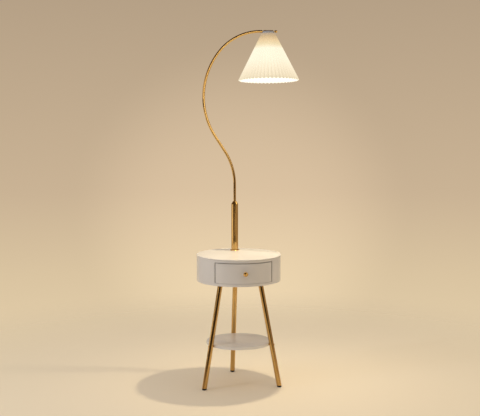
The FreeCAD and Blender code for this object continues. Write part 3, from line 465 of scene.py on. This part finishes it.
tilt = next(j for j in frame["joints"] if j["name"] == "shade_tilt")
TO_HEAD = Matrix.Translation(Vector(tilt["pos_m"])) @ Matrix.Rotation(-SHADE_LEAN, 4, "X")
print("the shade tilts about", [round(value, 4) for value in tilt["pos_m"]])

# %% [markdown]
# ### Folding the strip
# One function says how deep in a fold a point lies, and each ring of points is folded by it, so
# the creases run straight from the top to the rim. The folds grow deeper on the way down, and
# at the rim the valleys hang a little lower than the crests. Solidify gives the sheet a second
# wall, and the wall that lies nearer to the axis is marked as the inside.


# %% Fold the shade
def fold_wave(turn):
    """0 on the fold's crest and 1 in the valley, with slightly rounded creases."""
    share = (turn * PLEATS / (2 * math.pi)) % 1.0
    sharp = 1 - abs(2 * share - 1)
    soft = (1 - math.cos(2 * math.pi * share)) / 2
    return CREASE_SHARPNESS * sharp + (1 - CREASE_SHARPNESS) * soft


def mean_reach(wall):
    """How far the points of a wall lie from the cone's axis, on average."""
    return sum(math.hypot(vert.co.x, vert.co.y) for vert in wall) / len(wall)


def make_shade():
    shape = bmesh.new()
    bmesh.ops.create_circle(shape, segments=PLEATS * POINTS_PER_PLEAT, radius=1.0, cap_ends=False)
    fall = shape.verts.layers.float.new("fall")
    crease = shape.verts.layers.float.new("crease")
    inside = shape.verts.layers.float.new("inside")
    ring = list(shape.verts)
    edges = list(shape.edges)

    def shape_ring(points, share):
        """Fold one ring of points, at a share of the way from the top to the rim."""
        radius = TOP_RADIUS + (RIM_RADIUS - TOP_RADIUS) * share
        depth = FOLD_DEPTH_TOP + (FOLD_DEPTH_RIM - FOLD_DEPTH_TOP) * share
        for vert in points:
            turn = math.atan2(vert.co.y, vert.co.x)
            wave = fold_wave(turn)
            r = radius - depth * wave
            z = -CAP_HEIGHT - SHADE_HEIGHT * share - VALLEY_DROP * wave * share ** DROP_POWER
            vert.co = Vector((r * math.cos(turn), r * math.sin(turn), z))
            vert[fall] = share
            vert[crease] = wave

    shape_ring(ring, 0.0)
    for step in range(1, RINGS + 1):
        made = bmesh.ops.extrude_edge_only(shape, edges=edges)["geom"]
        ring = [g for g in made if isinstance(g, bmesh.types.BMVert)]
        edges = [g for g in made if isinstance(g, bmesh.types.BMEdge)]
        shape_ring(ring, step / RINGS)
    bmesh.ops.recalc_face_normals(shape, faces=shape.faces)
    first_wall = set(shape.verts)
    bmesh.ops.solidify(shape, geom=list(shape.faces), thickness=SHEET)
    second_wall = set(shape.verts) - first_wall
    for vert in min(first_wall, second_wall, key=mean_reach):
        vert[inside] = 1.0
    bmesh.ops.transform(shape, matrix=TO_HEAD, verts=shape.verts)
    mesh = bpy.data.meshes.new("folded_shade")
    shape.to_mesh(mesh)
    shape.free()
    for face in mesh.polygons:
        face.use_smooth = True
    piece = bpy.data.objects.new("folded_shade", mesh)
    bpy.context.scene.collection.objects.link(piece)
    return piece


shade = make_shade()
shade.data.materials.append(shade_sheet)
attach(shade, "head")
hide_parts("pleated_shade")
print("shade faces", len(shade.data.polygons))

# %% [markdown]
# ## Floor
# The lamp stands on a seamless roll of pale paper. A plain disc would show its edge from other
# sides, so the paper fades out with distance and the background takes over. The fade reads
# Object coordinates, so it is fixed to the floor and not to the camera. From below, the paper is
# clear, so that the underside of the lamp can be looked at.

# %% Paper floor
FLOOR_RADIUS = 9.0
FLOOR_SIDES = 96
PAPER_WHOLE_TO = 0.55
PAPER_GONE_AT = 2.4


def make_floor():
    shape = bmesh.new()
    bmesh.ops.create_circle(shape, segments=FLOOR_SIDES, radius=FLOOR_RADIUS, cap_ends=True)
    mesh = bpy.data.meshes.new("paper_floor")
    shape.to_mesh(mesh)
    shape.free()
    piece = bpy.data.objects.new("paper_floor", mesh)
    bpy.context.scene.collection.objects.link(piece)
    return piece


def make_paper():
    """Matt paper that turns to nothing far from the lamp."""
    material, tree, shader = new_material("matt seamless paper", Roughness=0.95, Specular_IOR_Level=0.1,
                                          Base_Color=colour("FAEBD2"))
    place = add(tree, "ShaderNodeTexCoord").outputs["Object"]
    reach = add(tree, "ShaderNodeVectorMath", {"operation": "LENGTH"}, _0=place).outputs["Value"]
    fade = add(tree, "ShaderNodeMapRange", {"interpolation_type": "SMOOTHSTEP"}, Value=reach,
               From_Min=PAPER_WHOLE_TO, From_Max=PAPER_GONE_AT)
    below = add(tree, "ShaderNodeNewGeometry").outputs["Backfacing"]
    gone = add(tree, "ShaderNodeMath", {"operation": "MAXIMUM"}, _0=fade.outputs["Result"], _1=below)
    clear = add(tree, "ShaderNodeBsdfTransparent")
    mixed = add(tree, "ShaderNodeMixShader", _0=gone.outputs["Value"], _1=shader.outputs[0],
                _2=clear.outputs[0])
    tree.links.new(mixed.outputs[0], tree.nodes["Material Output"].inputs["Surface"])
    return material


paper_floor = make_floor()
paper_floor.data.materials.append(make_paper())
print("paper is whole to", PAPER_WHOLE_TO, "m and gone at", PAPER_GONE_AT, "m")

# %% [markdown]
# ## Background and ambient light
# What the camera, the metal and the glass see is a warm beige wall, lighter towards the floor
# and dark far overhead, like a studio with its ceiling lights off. Behind the lamp, as seen from
# the camera's place, the wall is a little brighter, and that patch is fixed in the room. What
# lights matt surfaces is a soft sky that is nearly neutral, so the lacquer keeps its own colour.
# Light Path tells the two apart.

# %% World
WALL_FROM = -0.4
WALL_TO = 1.0
SKY_HORIZON = 0.24
SKY_TOP = 0.72
HALO_GAIN = 0.20
HALO_HALF_ANGLE = math.radians(9.5)
WALL_TONES = [(0.0, "EFDDBC"), (0.11, "E5D0AC"), (0.17, "DAC4A1"), (0.225, "CAB395"), (0.36, "B5A086"),
              (0.42, "CBB599"), (0.52, "BFA98C"), (0.62, "574630")]


def make_world():
    world = bpy.data.worlds.new("studio")
    bpy.context.scene.world = world
    world.use_nodes = True
    tree = world.node_tree
    place = add(tree, "ShaderNodeTexCoord").outputs["Generated"]
    height = add(tree, "ShaderNodeSeparateXYZ", Vector=place).outputs["Z"]
    level = add(tree, "ShaderNodeMapRange", Value=height, From_Min=WALL_FROM, From_Max=WALL_TO)
    wall = add(tree, "ShaderNodeValToRGB", {"stops": WALL_TONES}, Fac=level.outputs["Result"])
    along = add(tree, "ShaderNodeVectorMath", {"operation": "DOT_PRODUCT"}, _0=place, _1=aim).outputs["Value"]
    halo = add(tree, "ShaderNodeMapRange", {"interpolation_type": "SMOOTHSTEP"}, Value=along,
               From_Min=math.cos(HALO_HALF_ANGLE), From_Max=1.0, To_Min=1.0, To_Max=1.0 + HALO_GAIN)
    seen = tree.nodes["Background"]
    tree.links.new(wall.outputs["Color"], seen.inputs["Color"])
    tree.links.new(halo.outputs["Result"], seen.inputs["Strength"])
    above = add(tree, "ShaderNodeMapRange", Value=height, To_Min=SKY_HORIZON, To_Max=SKY_TOP)
    sky = add(tree, "ShaderNodeBackground", Color=colour("FFF6EB"), Strength=above.outputs["Result"])
    rays = add(tree, "ShaderNodeLightPath").outputs
    camera_or_gloss = add(tree, "ShaderNodeMath", {"operation": "MAXIMUM"}, _0=rays["Is Camera Ray"],
                          _1=rays["Is Glossy Ray"])
    any_seen = add(tree, "ShaderNodeMath", {"operation": "MAXIMUM"}, _0=camera_or_gloss.outputs["Value"],
                   _1=rays["Is Transmission Ray"])
    mixed = add(tree, "ShaderNodeMixShader", _0=any_seen.outputs["Value"], _1=sky.outputs[0],
                _2=seen.outputs[0])
    tree.links.new(mixed.outputs[0], tree.nodes["World Output"].inputs["Surface"])


make_world()
print("the wall has", len(WALL_TONES), "tones")

# %% [markdown]
# ## Strip lights
# Two narrow strips light the drum from the sides. The cool one on the left is the stronger, so
# the drum turns from a cool light side to a warm darker one. Wide soft boxes would do the same,
# but they leave pools of light on the floor. The brass doesn't mirror the strips, because its
# light lines come from the cards further down.

# %% Two strips
STRIPS_AIM_AT = (0, 0, 0.9)


def strip_light(name, at, size, power, code):
    data = bpy.data.lights.new(name, "AREA")
    data.shape = "RECTANGLE"
    data.size, data.size_y = size
    data.energy = power
    data.color = colour(code)[:3]
    strip = bpy.data.objects.new(name, data)
    strip.location = at
    strip.rotation_euler = (Vector(STRIPS_AIM_AT) - Vector(at)).to_track_quat("-Z", "Y").to_euler()
    strip.visible_glossy = False
    bpy.context.scene.collection.objects.link(strip)
    print(name, "gives", power, "watts")


strip_light("left_strip", (-3.2, -1.2, 1.5), (0.3, 2.0), 22, "DDE8FF")
strip_light("right_strip", (2.4, -1.4, 1.5), (0.25, 2.0), 4, "FFE9CC")

# %% [markdown]
# ## The bulb's light
# The bulb's own light is a small disc inside the shade. It is tied to the lamp head, so it
# swings and tilts with the shade, and it throws the drum's round shadow on the floor. It stands
# 85 mm off the bulb's axis, which no real bulb does, because only from there does the shadow
# fall to the right place. The sheet of the shade leaves it out, since the sheet glows by itself
# and so small a light would speckle it.

# %% Bulb light
BULB_LIGHT_AT = Vector((46, -72, -180)) * MM
BULB_LIGHT_WIDTH = 0.05
BULB_LIGHT_WATTS = 6.8

glow_data = bpy.data.lights.new("bulb_light", "AREA")
glow_data.shape = "DISK"
glow_data.size = BULB_LIGHT_WIDTH
glow_data.energy = BULB_LIGHT_WATTS
glow_data.color = colour("FFF1D0")[:3]
glow = bpy.data.objects.new("bulb_light", glow_data)
glow.matrix_world = TO_HEAD @ Matrix.Translation(BULB_LIGHT_AT)
bpy.context.scene.collection.objects.link(glow)
glow.parent = frame["bodies"]["head"]
glow.visible_camera = False
unlit = bpy.data.collections.new("not lit by the bulb's disc")
unlit.objects.link(shade)
unlit.collection_objects[0].light_linking.link_state = "EXCLUDE"
glow.light_linking.receiver_collection = unlit
print("bulb light", round(BULB_LIGHT_AT.xy.length / MM), "mm off the bulb's axis")

# %% [markdown]
# ## Cards for the brass
# Polished tubes look flat when all they reflect is one pale room, so cards stand round the lamp,
# as in a photographer's studio. Dark flags draw the dark lines down the legs, post and arm, and
# pale cards give the crisp light lines. A leaning leg, an upright post and a bent arm mirror
# other parts of the room, so each has cards of its own. The cards are seen only in reflections,
# so they are in no picture and put no light on matt surfaces.

# %% Cards that only gloss sees
DARK = "2A2016"
BROWN = "4A3A28"
CARD_FACE = "0A0A0A"
# name, metres from the lamp, degrees from the camera's side, half width, low, high, tone, strength
CARDS = [
    ("camera_flag", 3.0, 1, 0.42, 0.0, 0.9, DARK, 1.0),
    ("leg_flag", 3.0, 3, 2.5, 0.44, 1.15, DARK, 1.0),
    ("foot_flag", 1.5, 3, 1.25, 0.10, 0.43, DARK, 1.0),
    ("post_flag", 2.9, -38, 0.70, 0.24, 0.56, BROWN, 1.0),
    ("post_edge_flag", 3.0, 88, 0.70, 0.24, 0.56, BROWN, 1.0),
    ("post_card", 3.0, -88, 0.60, 0.24, 0.56, "FFF8EC", 1.7),
    ("left_card", 6.0, -54, 1.5, 1.3, 2.8, "FFF6E6", 1.6),
    ("right_card", 6.0, 50, 1.2, 1.3, 2.8, "FFF1DC", 1.4),
    ("arm_flag", 7.0, -80, 4.5, 0.2, 1.15, DARK, 1.0),
    ("arm_card", 2.9, 24, 0.60, 1.16, 1.9, "FFF3CF", 3.6),
    ("upper_card", 3.0, 92, 1.1, 2.4, 4.8, "FFF1D0", 2.2),
]


def make_card(name, away, turn, half_width, low, high, tone, strength):
    """Upright card at a distance from the lamp and a turn from the camera's side, between two heights."""
    shape = bmesh.new()
    bmesh.ops.create_grid(shape, x_segments=1, y_segments=1, size=1.0)
    bmesh.ops.scale(shape, vec=(half_width, (high - low) / 2, 1), verts=shape.verts)
    bmesh.ops.rotate(shape, cent=(0, 0, 0), matrix=Matrix.Rotation(math.pi / 2, 3, "X"), verts=shape.verts)
    bmesh.ops.translate(shape, verts=shape.verts, vec=(0, -away, (low + high) / 2))
    about = Matrix.Rotation(math.radians(turn) - CAMERA_TURN, 3, "Z")
    bmesh.ops.rotate(shape, cent=(0, 0, 0), matrix=about, verts=shape.verts)
    mesh = bpy.data.meshes.new(name)
    shape.to_mesh(mesh)
    shape.free()
    card = bpy.data.objects.new(name, mesh)
    bpy.context.scene.collection.objects.link(card)
    for ray in ("camera", "diffuse", "transmission", "shadow", "volume_scatter"):
        setattr(card, "visible_" + ray, False)
    board, _, _ = new_material(name + " board", Roughness=1.0, Base_Color=colour(CARD_FACE),
                               Emission_Color=colour(tone), Emission_Strength=strength)
    card.data.materials.append(board)


for row in CARDS:
    make_card(*row)
print(len(CARDS), "cards stand round the lamp")

# %% [markdown]
# ## View transform
# The plain view transform shows a colour about as it is written.

# %% View transform
bpy.context.scene.view_settings.view_transform = "Standard"
